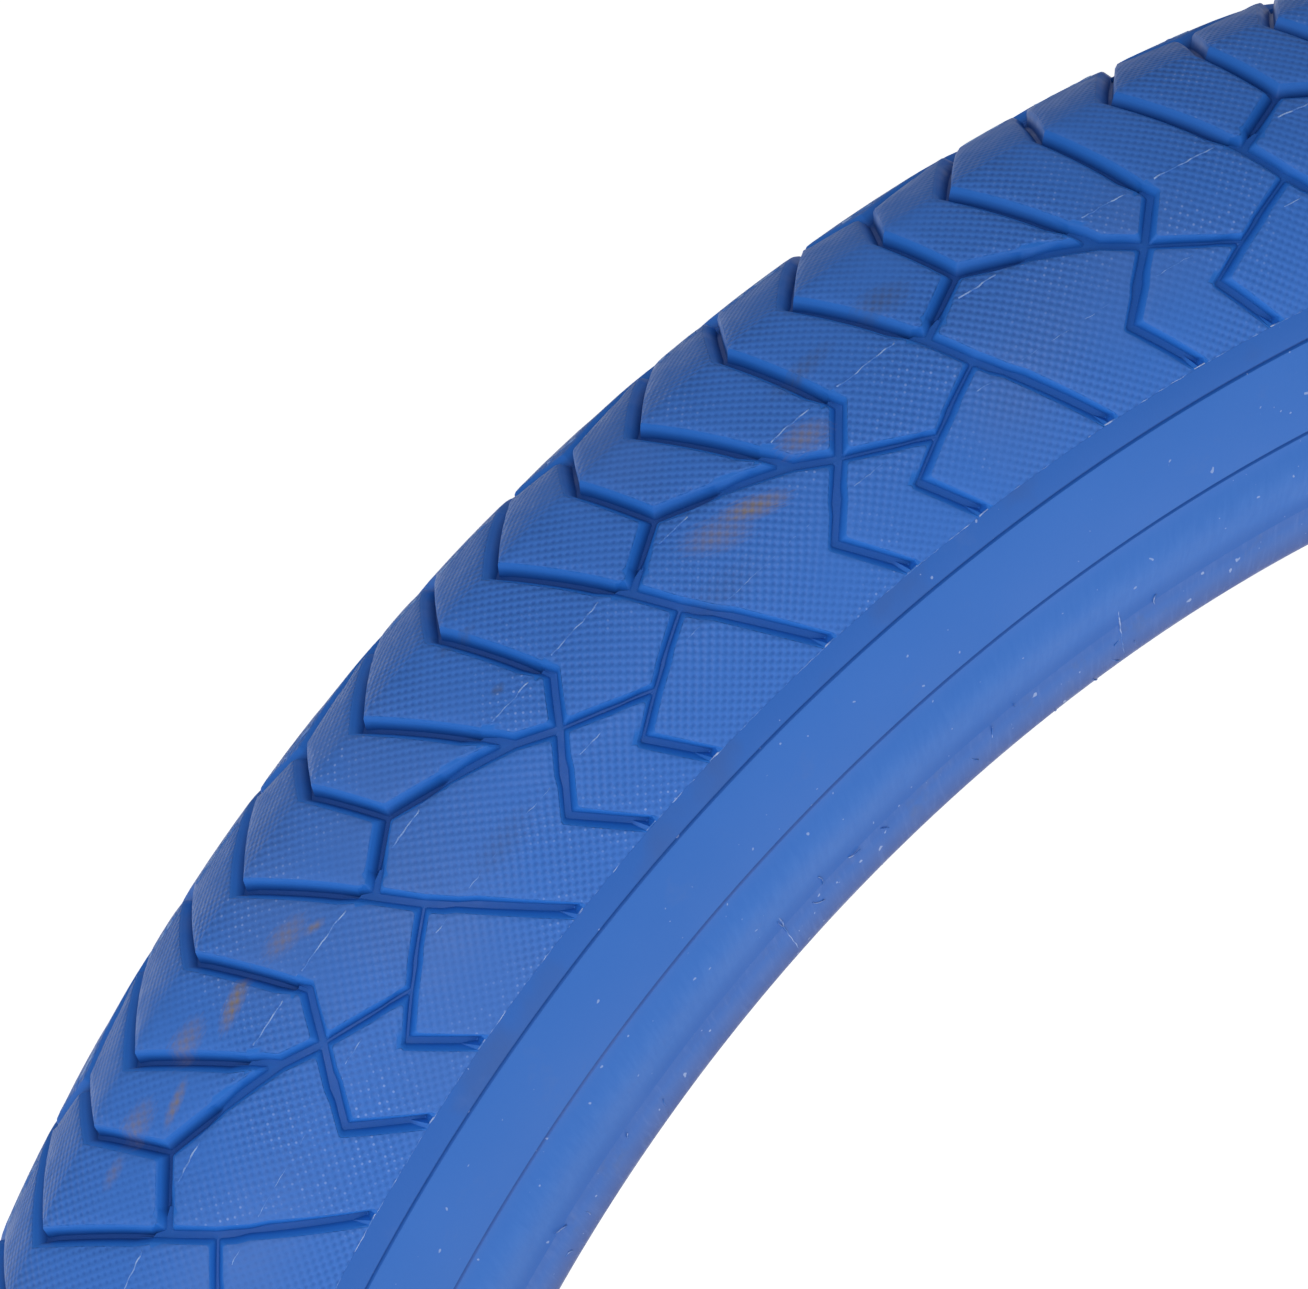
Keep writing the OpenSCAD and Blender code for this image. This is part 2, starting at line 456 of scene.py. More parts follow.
def divided(outline, step, borders=False):
    """The outline with points added so that none are further apart than step. Its sides on
    the crown line and the tread's edge stay whole unless borders is true."""
    result = []
    for i, start in enumerate(outline):
        end = outline[(i + 1) % len(outline)]
        pieces = max(1, math.ceil((end - start).length / step))
        if on_border(start, end) and not borders:
            pieces = 1
        for n in range(pieces):
            result.append(start.lerp(end, n / pieces))
    return result


def inside(point, outline):
    """Whether a point is inside an outline."""
    hit = False
    for i, a in enumerate(outline):
        b = outline[i - 1]
        if (a.y > point.y) != (b.y > point.y):
            if point.x < (b.x - a.x) * (point.y - a.y) / (b.y - a.y) + a.x:
                hit = not hit
    return hit


def clear_of(point, outline, gap):
    """Whether a point is further than gap from every point of an outline."""
    return all((point - p).length > gap for p in outline)


def cap_grid(outline):
    """Points spread over the block's top, so that it follows the tire's curve."""
    xs = [p.x for p in outline]
    ys = [p.y for p in outline]
    points = []
    row = 0
    y = min(ys) + CAP_STEP / 2
    while y < max(ys):
        x = min(xs) + CAP_STEP * (0.5 if row % 2 else 1.0)
        while x < max(xs):
            p = Vector((x, y))
            if inside(p, outline) and clear_of(p, outline, CAP_STEP * 0.55):
                points.append(p)
            x += CAP_STEP
        y += CAP_STEP * 0.87
        row += 1
    return points


class Patch:
    """One block with its share of the grooves: flat points, their depths and triangles."""

    def __init__(self, names):
        sides = block_sides(names)
        outlines = [divided([s.start for s in sides], MESH_STEP)]
        for ring, radius in enumerate(CORNER_RADII):
            is_last = ring == len(CORNER_RADII) - 1
            outlines.append(divided(rounded(inset(sides, ring), radius), MESH_STEP, borders=is_last))
        points = []
        edges = []
        for outline in outlines:
            first = len(points)
            points += outline
            edges += [(first + i, first + (i + 1) % len(outline)) for i in range(len(outline))]
        points += cap_grid(outlines[-1])
        found = delaunay_2d_cdt(points, edges, [], 1, 1e-4)
        self.points = list(found[0])
        self.faces = [tuple(f) for f in found[2]]
        self.sunk = [sunk(p, sides) for p in self.points]
        self.middle = sum(p.x for p in self.points) / len(self.points)


def patch_uv(patch, point):
    """Where a flat point lies along and across the knurl rows, in millimetres."""
    r, _ = skin(point.y)
    across = (point.x - patch.middle) / FLAT_PITCH * REPEAT_ANGLE * r
    cos = math.cos(KNURL_LEAN * DEG)
    sin = math.sin(KNURL_LEAN * DEG)
    return (across * cos + point.y * sin, point.y * cos - across * sin)


def build_tread():
    """Every block of both halves all the way round, closed underneath."""
    patches = [Patch(names) for names in BLOCKS]
    coords = []
    faces = []
    uvs = []
    tops = []
    depths = []
    for repeat in range(REPEATS):
        start = FIRST_POINT - repeat * REPEAT_ANGLE
        for side in (-1, 1):
            for patch in patches:
                first = len(coords)
                for p, (depth, on_top) in zip(patch.points, patch.sunk):
                    angle = start - (p.x + mould_slip(p.y)) / FLAT_PITCH * REPEAT_ANGLE
                    coords.append(around(skin(p.y, depth), angle, side))
                    uvs.append(patch_uv(patch, p))
                    tops.append(1.0 if on_top else 0.0)
                    depths.append(depth)
                for face in patch.faces:
                    turned = face if side == 1 else face[::-1]
                    faces.append(tuple(first + i for i in turned))
    mesh = bpy.data.meshes.new("block_tread")
    mesh.from_pydata(coords, [], faces)
    layer = mesh.uv_layers.new(name="knurl")
    for loop in mesh.loops:
        layer.data[loop.index].uv = uvs[loop.vertex_index]
    for name, values in (("block_top", tops), ("depth", depths)):
        mesh.attributes.new(name, "FLOAT", "POINT").data.foreach_set("value", values)
    close_tread(mesh)
    mesh.set_sharp_from_angle(angle=38 * DEG)
    return mesh


def close_tread(mesh):
    """Joins the blocks, then carries both edges down and across under the blocks."""
    edit = bmesh.new()
    edit.from_mesh(mesh)
    bmesh.ops.remove_doubles(edit, verts=edit.verts, dist=0.004 * MM)
    for side in (-1, 1):
        rim = [e for e in edit.edges if e.is_boundary and e.verts[0].co.y * side > 0]
        for down, depth in ((TREAD_EDGE - 0.1, TREAD_SIDE_DEPTH), (TREAD_EDGE - 6, TREAD_BACK_DEPTH),
                            (28, TREAD_BACK_DEPTH), (14, TREAD_BACK_DEPTH), (0, TREAD_BACK_DEPTH)):
            grown = bmesh.ops.extrude_edge_only(edit, edges=rim)["geom"]
            r, w = skin(down, depth)
            for v in (g for g in grown if isinstance(g, bmesh.types.BMVert)):
                angle = math.atan2(v.co.z, v.co.x)
                v.co = around((r, w), angle, side)
            rim = [g for g in grown if isinstance(g, bmesh.types.BMEdge)]
    bmesh.ops.recalc_face_normals(edit, faces=edit.faces)
    edit.to_mesh(mesh)
    edit.free()


def closed_mesh(name, coords, faces):
    """A mesh with its faces turned outwards."""
    mesh = bpy.data.meshes.new(name)
    mesh.from_pydata(coords, [], faces)
    edit = bmesh.new()
    edit.from_mesh(mesh)
    bmesh.ops.recalc_face_normals(edit, faces=edit.faces)
    edit.to_mesh(mesh)
    edit.free()
    return mesh


def add_piece(name, mesh, material, nodes=()):
    """Adds a smooth-shaded piece on the tire's body, in place of the CAD nodes given."""
    piece = bpy.data.objects.new(name, mesh)
    bpy.context.scene.collection.objects.link(piece)
    mesh.materials.append(material)
    for polygon in mesh.polygons:
        polygon.use_smooth = True
    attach(piece, "root")
    if nodes:
        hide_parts(*nodes)


# ---------------------------------------------------------------------------------------------
# Sidewalls and beads: closed sections turned about the axle
# ---------------------------------------------------------------------------------------------
TURN_STEPS = 640
RUBBER_THICKNESS = 1.1
CHAFER_THICKNESS = 0.55
LINE_DEPTH = 0.42
PANEL_DEPTH = 0.08
VALLEY_DEPTH = 0.12
SWELL_HEIGHT = 0.85


def turned_mesh(name, section, side):
    """A closed section, turned all the way round."""
    count = len(section)
    coords = []
    faces = []
    for step in range(TURN_STEPS):
        angle = 2 * math.pi * step / TURN_STEPS
        coords.extend(around(p, angle, side) for p in section)
        here = step * count
        there = (step + 1) % TURN_STEPS * count
        for i in range(count):
            j = (i + 1) % count
            faces.append((here + i, here + j, there + j, there + i))
    mesh = closed_mesh(name, coords, faces)
    mesh.set_sharp_from_angle(angle=50 * DEG)
    return mesh


def spaced(start, end, steps):
    """Evenly spaced values from start to end, both included."""
    return [start + (end - start) * i / steps for i in range(steps + 1)]


def fine_line(down, above, below):
    """A narrow moulded line in the sidewall, with the surface's depth on either side of it."""
    floor = [(down - 0.05, LINE_DEPTH), (down + 0.12, LINE_DEPTH)]
    return [(down - 0.30, above)] + floor + [(down + 0.35, below)]


def sidewall_relief():
    """The sidewall's surface as (distance down the skin, depth), in the order that it runs."""
    top = TREAD_EDGE + 0.02
    band = [(top, RUBBER_THICKNESS), (top, 0.0), (TREAD_EDGE + 0.2, 0.0)]
    band += [(down, 0.0) for down in spaced(TREAD_EDGE + 1, STEP_LINE - 0.7, 3)]
    panel = [(down, PANEL_DEPTH) for down in spaced(STEP_LINE + 1, PANEL_END - 1, 9)]
    swell_start = PANEL_END + 0.6
    swell = []
    for down in spaced(swell_start, CREASE, 22):
        t = (down - swell_start) / (CREASE - swell_start)
        swell.append((down, VALLEY_DEPTH - SWELL_HEIGHT * math.sin(math.pi * t ** 0.85) ** 2))
    upper_line = fine_line(STEP_LINE, 0.0, PANEL_DEPTH)
    lower_line = fine_line(PANEL_END, PANEL_DEPTH, VALLEY_DEPTH)
    return band + upper_line + panel + lower_line + swell + [(CREASE, RUBBER_THICKNESS)]


def sidewall_section():
    """The sidewall's moulded face and its plain back."""
    back = [(down, RUBBER_THICKNESS) for down in spaced(CREASE - 4, TREAD_EDGE + 4, 8)]
    return [skin(down, depth) for down, depth in sidewall_relief() + back]


def bead_section():
    """The chafer's section, from its crease with the sidewall to the inside of the bead."""
    outer = [(CREASE + 0.01, RUBBER_THICKNESS), (CREASE + 0.01, VALLEY_DEPTH)]
    outer += [(CREASE + 0.7, 0.10), (CREASE + 1.4, 0.03)]
    outer += [(down, -0.05) for down in spaced(CREASE + 2.2, BEAD_START, 4)]
    outer += [(down, 0.0) for down in spaced(BEAD_START + 0.5, SKIN_END, 26)]
    outer_points = [skin(down, depth) for down, depth in outer]
    inner = [skin(down, CHAFER_THICKNESS) for down in reversed(spaced(CREASE + 1, SKIN_END, 24))]
    return outer_points + inner


# ---------------------------------------------------------------------------------------------
# Materials
# ---------------------------------------------------------------------------------------------


class Nodes:
    """Short calls for building one material's node tree."""

    def __init__(self, name):
        self.material = bpy.data.materials.new(name)
        self.material.use_nodes = True
        self.tree = self.material.node_tree
        self.shader = self.tree.nodes["Principled BSDF"]

    def new(self, kind, **values):
        node = self.tree.nodes.new(kind)
        for key, value in values.items():
            setattr(node, key, value)
        return node

    def link(self, source, target):
        self.tree.links.new(source, target)

    def feed(self, socket, value):
        """Links a socket or sets a plain value."""
        if isinstance(value, bpy.types.NodeSocket):
            self.link(value, socket)
        else:
            socket.default_value = value

    def math(self, operation, a, b=0.0, c=0.0):
        node = self.new("ShaderNodeMath", operation=operation)
        for socket, value in zip(node.inputs, (a, b, c)):
            self.feed(socket, value)
        return node.outputs[0]

    def between(self, value, low, high, to_low=0.0, to_high=1.0):
        """The value, with low to high mapped to to_low to to_high and clamped."""
        node = self.new("ShaderNodeMapRange", clamp=True)
        for socket, item in zip(node.inputs, (value, low, high, to_low, to_high)):
            self.feed(socket, item)
        return node.outputs[0]

    def mix(self, factor, a, b):
        """A colour that goes from a to b as the factor goes from nought to one."""
        node = self.new("ShaderNodeMix", data_type="RGBA")
        self.feed(node.inputs[0], factor)
        self.feed(node.inputs[6], a if isinstance(a, bpy.types.NodeSocket) else (*a, 1))
        self.feed(node.inputs[7], b if isinstance(b, bpy.types.NodeSocket) else (*b, 1))
        return node.outputs[2]

    def place(self):
        """The shaded point, in the object's own metres."""
        if not hasattr(self, "_place"):
            self._place = self.new("ShaderNodeTexCoord").outputs["Object"]
        return self._place

    def noise(self, scale, detail=3.0, vector=None, roughness=0.5):
        node = self.new("ShaderNodeTexNoise")
        self.link(vector or self.place(), node.inputs["Vector"])
        node.inputs["Scale"].default_value = scale
        node.inputs["Detail"].default_value = detail
        node.inputs["Roughness"].default_value = roughness
        return node.outputs["Fac"]

    def bump(self, height, distance, strength=1.0, normal=None):
        node = self.new("ShaderNodeBump")
        node.inputs["Distance"].default_value = distance
        node.inputs["Strength"].default_value = strength
        self.link(height, node.inputs["Height"])
        if normal is not None:
            self.link(normal, node.inputs["Normal"])
        return node.outputs["Normal"]

    def polar(self):
        """(angle in radians, millimetres from the axis) of the shaded point."""
        split = self.new("ShaderNodeSeparateXYZ")
        self.link(self.place(), split.inputs[0])
        x, _, z = split.outputs
        angle = self.math("ARCTAN2", z, x)
        square = self.math("ADD", self.math("MULTIPLY", x, x), self.math("MULTIPLY", z, z))
        radius = self.math("MULTIPLY", self.math("SQRT", square), 1 / MM)
        return angle, radius

    def combine(self, x, y, z=0.0):
        node = self.new("ShaderNodeCombineXYZ")
        for socket, value in zip(node.inputs, (x, y, z)):
            self.feed(socket, value)
        return node.outputs[0]


# Dirt on the left half of the tread: wheel angle in degrees, distance down the skin, length and
# width in millimetres, lean in degrees, strength.
BROWN_SMEARS = [
    (142.2, 9.8, 5.0, 1.5, -12, 0.95),
    (143.9, 6.6, 4.5, 2.4, 5, 0.55),
    (145.5, 10.0, 4.0, 1.0, -8, 0.80),
    (148.1, 6.7, 3.0, 1.2, 0, 0.40),
    (146.6, 6.3, 4.5, 2.4, 5, 0.50),
    (122.1, 20.8, 6.0, 1.9, 22, 0.90),
    (123.4, 20.3, 6.0, 2.8, 24, 0.50),
    (119.6, 18.1, 4.5, 2.6, 15, 0.60),
    (139.9, 10.8, 4.5, 2.2, 10, 0.55),
    (139.2, 13.5, 2.0, 0.8, 20, 0.75),
]
GREY_SMUDGES = [
    (115.2, 9.2, 5.0, 3.0, 10, 0.55),
    (118.3, 10.3, 6.5, 1.8, -5, 0.45),
    (130.5, 3.7, 4.0, 1.2, 10, 0.45),
    (130.8, 13.4, 1.3, 0.9, 10, 0.7),
    (134.0, 27.0, 7.0, 2.5, 0, 0.25),
    (124.5, 26.0, 8.0, 3.0, 5, 0.20),
]


def smear_mask(nodes, smears, streaks):
    """A soft streaked oval at each place listed. It leans from the way round the tire, against
    the wheel's angle, towards the bead."""
    total = 0.0
    for degrees, down, length, width, lean, strength in smears:
        turn = degrees * DEG
        out = around(on_arc((0, 0), 1, skin_angle(down)), turn, -1).normalized()
        ahead = Vector((math.sin(turn), 0, -math.cos(turn)))
        to_bead = around(on_arc((0, 0), 1, skin_angle(down) + 90), turn, -1).normalized()
        long_way = ahead * math.cos(lean * DEG) + to_bead * math.sin(lean * DEG)
        shift = nodes.new("ShaderNodeMapping", vector_type="TEXTURE")
        nodes.link(nodes.place(), shift.inputs["Vector"])
        shift.inputs["Location"].default_value = around(skin(down), turn, -1)
        turned = Matrix((long_way, out.cross(long_way), out)).transposed()
        shift.inputs["Rotation"].default_value = turned.to_euler()
        shift.inputs["Scale"].default_value = Vector((length, width, width * 2)) * MM
        far = nodes.new("ShaderNodeVectorMath", operation="LENGTH")
        nodes.link(shift.outputs[0], far.inputs[0])
        brushed = nodes.new("ShaderNodeVectorMath", operation="MULTIPLY")
        nodes.link(shift.outputs[0], brushed.inputs[0])
        brushed.inputs[1].default_value = (0.6, 4.5, 1.0)
        ragged = nodes.math("MULTIPLY_ADD", nodes.noise(streaks, 2, brushed.outputs[0]), 0.9, -0.45)
        edge = nodes.math("ADD", far.outputs["Value"], ragged)
        spot = nodes.between(edge, 1.0, 0.1, 0.0, strength)
        total = nodes.math("MAXIMUM", total, spot)
    return total


def tread_rubber():
    """Blue rubber with a fine square knurl on the block tops, dirt from handling, painted shade in the
    grooves and the knurl's pits, and painted glints on the knurl.
    """
    n = Nodes("tread_rubber")
    rows = n.new("ShaderNodeUVMap", uv_map="knurl").outputs[0]
    split = n.new("ShaderNodeSeparateXYZ")
    n.link(rows, split.inputs[0])
    turn = 2 * math.pi / KNURL_PITCH
    waves = [n.math("COSINE", n.math("MULTIPLY", split.outputs[i], turn)) for i in (0, 1)]
    relief = n.between(n.math("ADD", waves[0], waves[1]), 2.0, -2.0)
    top = n.new("ShaderNodeAttribute", attribute_name="block_top").outputs["Fac"]
    top = n.between(top, 0.6, 1.0)
    depth = n.new("ShaderNodeAttribute", attribute_name="depth").outputs["Fac"]
    worn = n.between(n.noise(40, 3), 0.36, 0.62, 0.35, 1.0)
    # Painted shade: the pits of the knurl on the block tops are painted darker.
    painted_pit_shade = n.math("MULTIPLY", n.math("MULTIPLY", n.between(relief, 0.42, 0.05), worn), top)
    large = n.noise(30, 4)
    colour = n.mix(n.between(large, 0.3, 0.7), (0.014, 0.135, 0.530), (0.020, 0.150, 0.560))
    # Painted shade: the grooves' walls and floors are painted darker the deeper they lie.
    colour = n.mix(n.between(depth, 0.8, 1.9, 0.0, 0.80), colour, (0.006, 0.040, 0.210))
    colour = n.mix(n.math("MULTIPLY", top, 0.65), colour, (0.052, 0.165, 0.535))
    colour = n.mix(n.math("MULTIPLY", painted_pit_shade, 0.55), colour, (0.012, 0.072, 0.330))
    # Painted highlight: pale glints on the raised knurl, in scattered spots.
    painted_glints = n.math("MULTIPLY", n.between(relief, 0.80, 0.97), n.between(n.noise(55, 2), 0.50, 0.68))
    painted_glints = n.math("MULTIPLY", n.math("MULTIPLY", painted_glints, top), n.between(n.noise(900, 1), 0.45, 0.60))
    colour = n.mix(n.math("MULTIPLY", painted_glints, 0.55), colour, (0.30, 0.42, 0.78))
    dusty = n.math("MULTIPLY", n.between(n.noise(22, 3), 0.52, 0.72, 0.0, 0.30), top)
    colour = n.mix(dusty, colour, (0.085, 0.150, 0.370))
    settled = n.between(relief, 0.85, 0.15, 0.55, 1.0)
    brown = n.math("MULTIPLY", smear_mask(n, BROWN_SMEARS, 2.2), settled)
    colour = n.mix(brown, colour, (0.22, 0.17, 0.12))
    grey = n.math("MULTIPLY", smear_mask(n, GREY_SMUDGES, 1.8), settled)
    colour = n.mix(grey, colour, (0.06, 0.08, 0.14))
    n.link(colour, n.shader.inputs["Base Color"])
    n.link(n.between(n.noise(300, 3), 0.3, 0.7, 0.40, 0.56), n.shader.inputs["Roughness"])
    n.shader.inputs["Specular IOR Level"].default_value = 0.22
    grain = n.bump(n.noise(2500, 3), 0.00004, 0.5)
    knurl = n.math("MULTIPLY", n.math("MULTIPLY", relief, top), worn)
    n.link(n.bump(knurl, 0.00020, 1.0, grain), n.shader.inputs["Normal"])
    return n.material


def radial_streaks(n, angle, radius):
    """Short fine streaks that run down the sidewall at a slight slant."""
    slant = n.math("MULTIPLY_ADD", radius, 0.0012, angle)
    return n.noise(260, 3, n.combine(slant, n.math("MULTIPLY", radius, 0.0010)), 0.6)


def near_radius(n, radius, middle, reach):
    """One on the ring at a radius, fading to nought at a distance of reach on either side."""
    return n.between(n.math("ABSOLUTE", n.math("SUBTRACT", radius, middle)), reach, reach * 0.3)


def sidewall_rubber():
    """Smooth moulded blue rubber. It has painted shade in its fine lines and in the crease by the bead, is
    grubby beside the tread, and has a painted highlight where the bead band swells, rubbed pale in short
    streaks."""
    n = Nodes("sidewall_rubber")
    angle, radius = n.polar()
    streaks = radial_streaks(n, angle, radius)
    colour = n.mix(n.between(n.noise(16, 4), 0.3, 0.7), (0.017, 0.128, 0.480), (0.024, 0.142, 0.515))
    band = n.between(radius, skin(STEP_LINE)[0] - 0.1, skin(STEP_LINE)[0] + 0.1)
    colour = n.mix(n.math("MULTIPLY", band, 0.45), colour, (0.010, 0.090, 0.390))
    grubby = n.math("MULTIPLY", n.between(n.noise(45, 4), 0.52, 0.70, 0.0, 0.45), band)
    colour = n.mix(grubby, colour, (0.050, 0.080, 0.200))
    swell = near_radius(n, radius, 215.6, 6.5)
    # Painted highlight along the swell of the bead band, brighter in the short rubbed streaks.
    rubbed_streaks_and_painted_highlight = n.math("MULTIPLY", swell, n.between(streaks, 0.36, 0.70, 0.25, 1.0))
    colour = n.mix(n.math("MULTIPLY", rubbed_streaks_and_painted_highlight, 0.32), colour, (0.065, 0.210, 0.600))
    scuffs = n.between(n.noise(130, 5, None, 0.7), 0.60, 0.78, 0.0, 0.30)
    colour = n.mix(scuffs, colour, (0.060, 0.150, 0.450))
    # Painted shade: a darker ring in the crease between the sidewall and the bead.
    painted_crease_shade = n.math("MULTIPLY", near_radius(n, radius, skin(CREASE)[0], 3.0), 0.35)
    colour = n.mix(painted_crease_shade, colour, (0.010, 0.080, 0.360))
    # Painted shade: the two fine moulded lines are painted dark.
    for down in (STEP_LINE, PANEL_END):
        line = n.math("MULTIPLY", near_radius(n, radius, skin(down)[0], 0.42), 0.5)
        colour = n.mix(line, colour, (0.008, 0.045, 0.230))
    specks = n.between(n.noise(1200, 0), 0.84, 0.86, 0.0, 0.5)
    colour = n.mix(specks, colour, (0.40, 0.50, 0.75))
    n.link(colour, n.shader.inputs["Base Color"])
    n.link(n.between(n.noise(90, 4), 0.3, 0.7, 0.34, 0.48), n.shader.inputs["Roughness"])
    n.shader.inputs["Specular IOR Level"].default_value = 0.30
    grain = n.bump(n.noise(1400, 3), 0.00003, 0.4)
    n.link(n.bump(streaks, 0.00006, 0.30, grain), n.shader.inputs["Normal"])
    return n.material


def chafer_rubber():
    """The bead's outer strip: the same blue, scuffed, with painted shade in its crease, and darker and
    duller under the bead, which is painted shade with a painted purplish reflection.
    """
    n = Nodes("chafer_rubber")
    angle, radius = n.polar()
    streaks = radial_streaks(n, angle, radius)
    colour = n.mix(n.between(n.noise(16, 4), 0.3, 0.7), (0.017, 0.125, 0.470), (0.026, 0.142, 0.510))
    # Painted shade: the same darker ring in the crease beside the sidewall.
    painted_crease_shade = n.math("MULTIPLY", near_radius(n, radius, skin(CREASE)[0], 3.0), 0.35)
    colour = n.mix(painted_crease_shade, colour, (0.010, 0.080, 0.360))
    # Painted shade with a painted purplish reflection: darker and duller towards the bead's seat.
    colour = n.mix(n.between(radius, 208.3, 203.6, 0.0, 0.8), colour, (0.045, 0.070, 0.240))
    colour = n.mix(n.between(streaks, 0.50, 0.75, 0.0, 0.35), colour, (0.090, 0.190, 0.520))
    scuffs = n.between(n.noise(170, 5, None, 0.7), 0.56, 0.74, 0.0, 0.45)
    colour = n.mix(scuffs, colour, (0.060, 0.110, 0.290))
    specks = n.between(n.noise(900, 1), 0.75, 0.78, 0.0, 0.6)
    colour = n.mix(specks, colour, (0.40, 0.50, 0.75))
    n.link(colour, n.shader.inputs["Base Color"])
    n.link(n.between(n.noise(200, 3), 0.3, 0.7, 0.34, 0.50), n.shader.inputs["Roughness"])
    n.link(n.bump(streaks, 0.00008, 0.5), n.shader.inputs["Normal"])
    return n.material


def cord_ply(name, lean):
    """Rubbered cord cloth: fine parallel cords that cross the tire at a slant."""
    n = Nodes(name)
    angle, radius = n.polar()
    split = n.new("ShaderNodeSeparateXYZ")
    n.link(n.place(), split.inputs[0])
    along = n.math("MULTIPLY", angle, 235.0)
    across = n.math("MULTIPLY", split.outputs[1], lean / MM)
    phase = n.math("MULTIPLY", n.math("ADD", along, across), 2 * math.pi / 0.9)
    cords = n.between(n.math("SINE", phase), -1.0, 1.0)
    colour = n.mix(cords, (0.090, 0.080, 0.070), (0.200, 0.175, 0.140))
    colour = n.mix(n.between(n.noise(60, 4), 0.4, 0.7, 0.0, 0.5), colour, (0.060, 0.070, 0.100))
    n.link(colour, n.shader.inputs["Base Color"])
    n.link(n.between(n.noise(250, 3), 0.3, 0.7, 0.55, 0.75), n.shader.inputs["Roughness"])
    n.link(n.bump(cords, 0.00015, 0.8), n.shader.inputs["Normal"])
    return n.material


def woven(name, light, dark, pitch):
    """Plain woven tape or strip."""
    n = Nodes(name)
    angle, radius = n.polar()
    turn = 2 * math.pi / pitch
    warp = n.math("SINE", n.math("MULTIPLY", angle, 206.0 * turn))
    weft = n.math("SINE", n.math("MULTIPLY", radius, turn))
    weave = n.between(n.math("MULTIPLY", warp, weft), -1.0, 1.0)
    colour = n.mix(weave, dark, light)
    colour = n.mix(n.between(n.noise(120, 3), 0.4, 0.8, 0.0, 0.4), colour, dark)
    n.link(colour, n.shader.inputs["Base Color"])
    n.link(n.between(n.noise(300, 2), 0.3, 0.7, 0.7, 0.85), n.shader.inputs["Roughness"])
    n.link(n.bump(weave, 0.0001, 0.8), n.shader.inputs["Normal"])
    return n.material


def filler_rubber():
    """Plain black rubber."""
    n = Nodes("filler_rubber")
    colour = n.mix(n.noise(180, 4), (0.014, 0.014, 0.015), (0.035, 0.034, 0.034))
    n.link(colour, n.shader.inputs["Base Color"])
    n.link(n.between(n.noise(300, 3), 0.3, 0.7, 0.5, 0.7), n.shader.inputs["Roughness"])
    n.link(n.bump(n.noise(900, 3), 0.00008, 0.6), n.shader.inputs["Normal"])
    return n.material


def bead_steel():
    """Drawn steel wire."""
    n = Nodes("bead_steel")
    angle, _ = n.polar()
    drawn = n.noise(900, 3, n.combine(n.math("MULTIPLY", angle, 0.02), n.noise(3000, 1)))
    n.link(n.mix(drawn, (0.46, 0.44, 0.40), (0.62, 0.60, 0.56)), n.shader.inputs["Base Color"])
    n.shader.inputs["Metallic"].default_value = 1.0
    n.link(n.between(drawn, 0.3, 0.7, 0.25, 0.4), n.shader.inputs["Roughness"])
    n.link(n.bump(drawn, 0.00003, 0.4), n.shader.inputs["Normal"])
    return n.material


def flash_rubber(name, pale):
    """The thin torn flash at the mould's joints, which has gone pale in places."""
    n = Nodes(name)
    patchy = n.between(n.noise(600, 3), 0.44, 0.62)
    n.link(n.mix(patchy, (0.05, 0.18, 0.56), pale), n.shader.inputs["Base Color"])
    n.link(n.between(n.noise(900, 2), 0.3, 0.7, 0.45, 0.65), n.shader.inputs["Roughness"])
    n.link(n.bump(n.noise(2500, 2), 0.00005, 0.6), n.shader.inputs["Normal"])
    return n.material


# ---------------------------------------------------------------------------------------------
# Mould flash: thin torn ridges where the mould's parts met
# ---------------------------------------------------------------------------------------------
FLASH_STEPS = 3600

# How far the flash drops where a groove crosses it, and how far beyond the groove's edge.
UNDER_GROOVES = 2.2
GROOVE_REACH = 0.75

# Seams and whiskers on each bead band. The seams' lean is in radians for each millimetre down.
SEAMS = 22
FIRST_SEAM = 129.8 * DEG
SEAM_START = PANEL_END + 4.5
SEAM_END = BEAD_START
SEAM_LEAN = 0.0006
WHISKERS = 150


def flash_ridge(name, down, height, width, wander, seed, gaps):
    """A low ridge round both sides of the tire at one distance down the skin. It is torn, so
    its height comes and goes, more so with a low value of gaps, and it is left out where a
    groove crosses."""
    coords = []
    faces = []
    for side in (-1, 1):
        first = len(coords)
        for step in range(FLASH_STEPS):
            angle = 2 * math.pi * step / FLASH_STEPS
            spot = Vector((math.cos(angle) * 40, math.sin(angle) * 40, seed + side))
            rise = max(-0.08, (noise.noise(spot * 3.0) + gaps) * height)
            rise += max(0.0, noise.noise(spot * 17.0) - 0.30) * height * 2.0
            drift = noise.noise(spot * 0.4) * wander + noise.noise(spot * 5.0) * wander * 0.5
            lean = noise.noise(spot * 6.0) * width * 0.4
            here = down + drift
            foot = -0.12
            if in_groove(angle, here):
                rise = foot = -UNDER_GROOVES
            for offset, level in ((-width / 2, foot), (lean, rise), (width / 2, foot), (0, foot - 0.2)):
                coords.append(around(skin(here + offset, -level), angle, side))
        for step in range(FLASH_STEPS):
            a = first + step * 4
            b = first + (step + 1) % FLASH_STEPS * 4
            for i in range(4):
                j = (i + 1) % 4
                faces.append((a + i, a + j, b + j, b + i))
    return closed_mesh(name, coords, faces)


def mould_seams():
    """Slight ridges down each bead band, where the mould's sectors met."""
    rng = random.Random(17)
    threads = []
    for side in (-1, 1):
        for n in range(SEAMS):
            angle = FIRST_SEAM - n * 2 * math.pi / SEAMS
            path = []
            for down in spaced(SEAM_START, SEAM_END, 16):
                wobble = rng.uniform(-0.0006, 0.0006)
                width = rng.uniform(0.16, 0.30)
                path.append((angle + wobble + (down - SEAM_START) * SEAM_LEAN, down, 0.02, width))
            threads.append((side, path))
    return threads


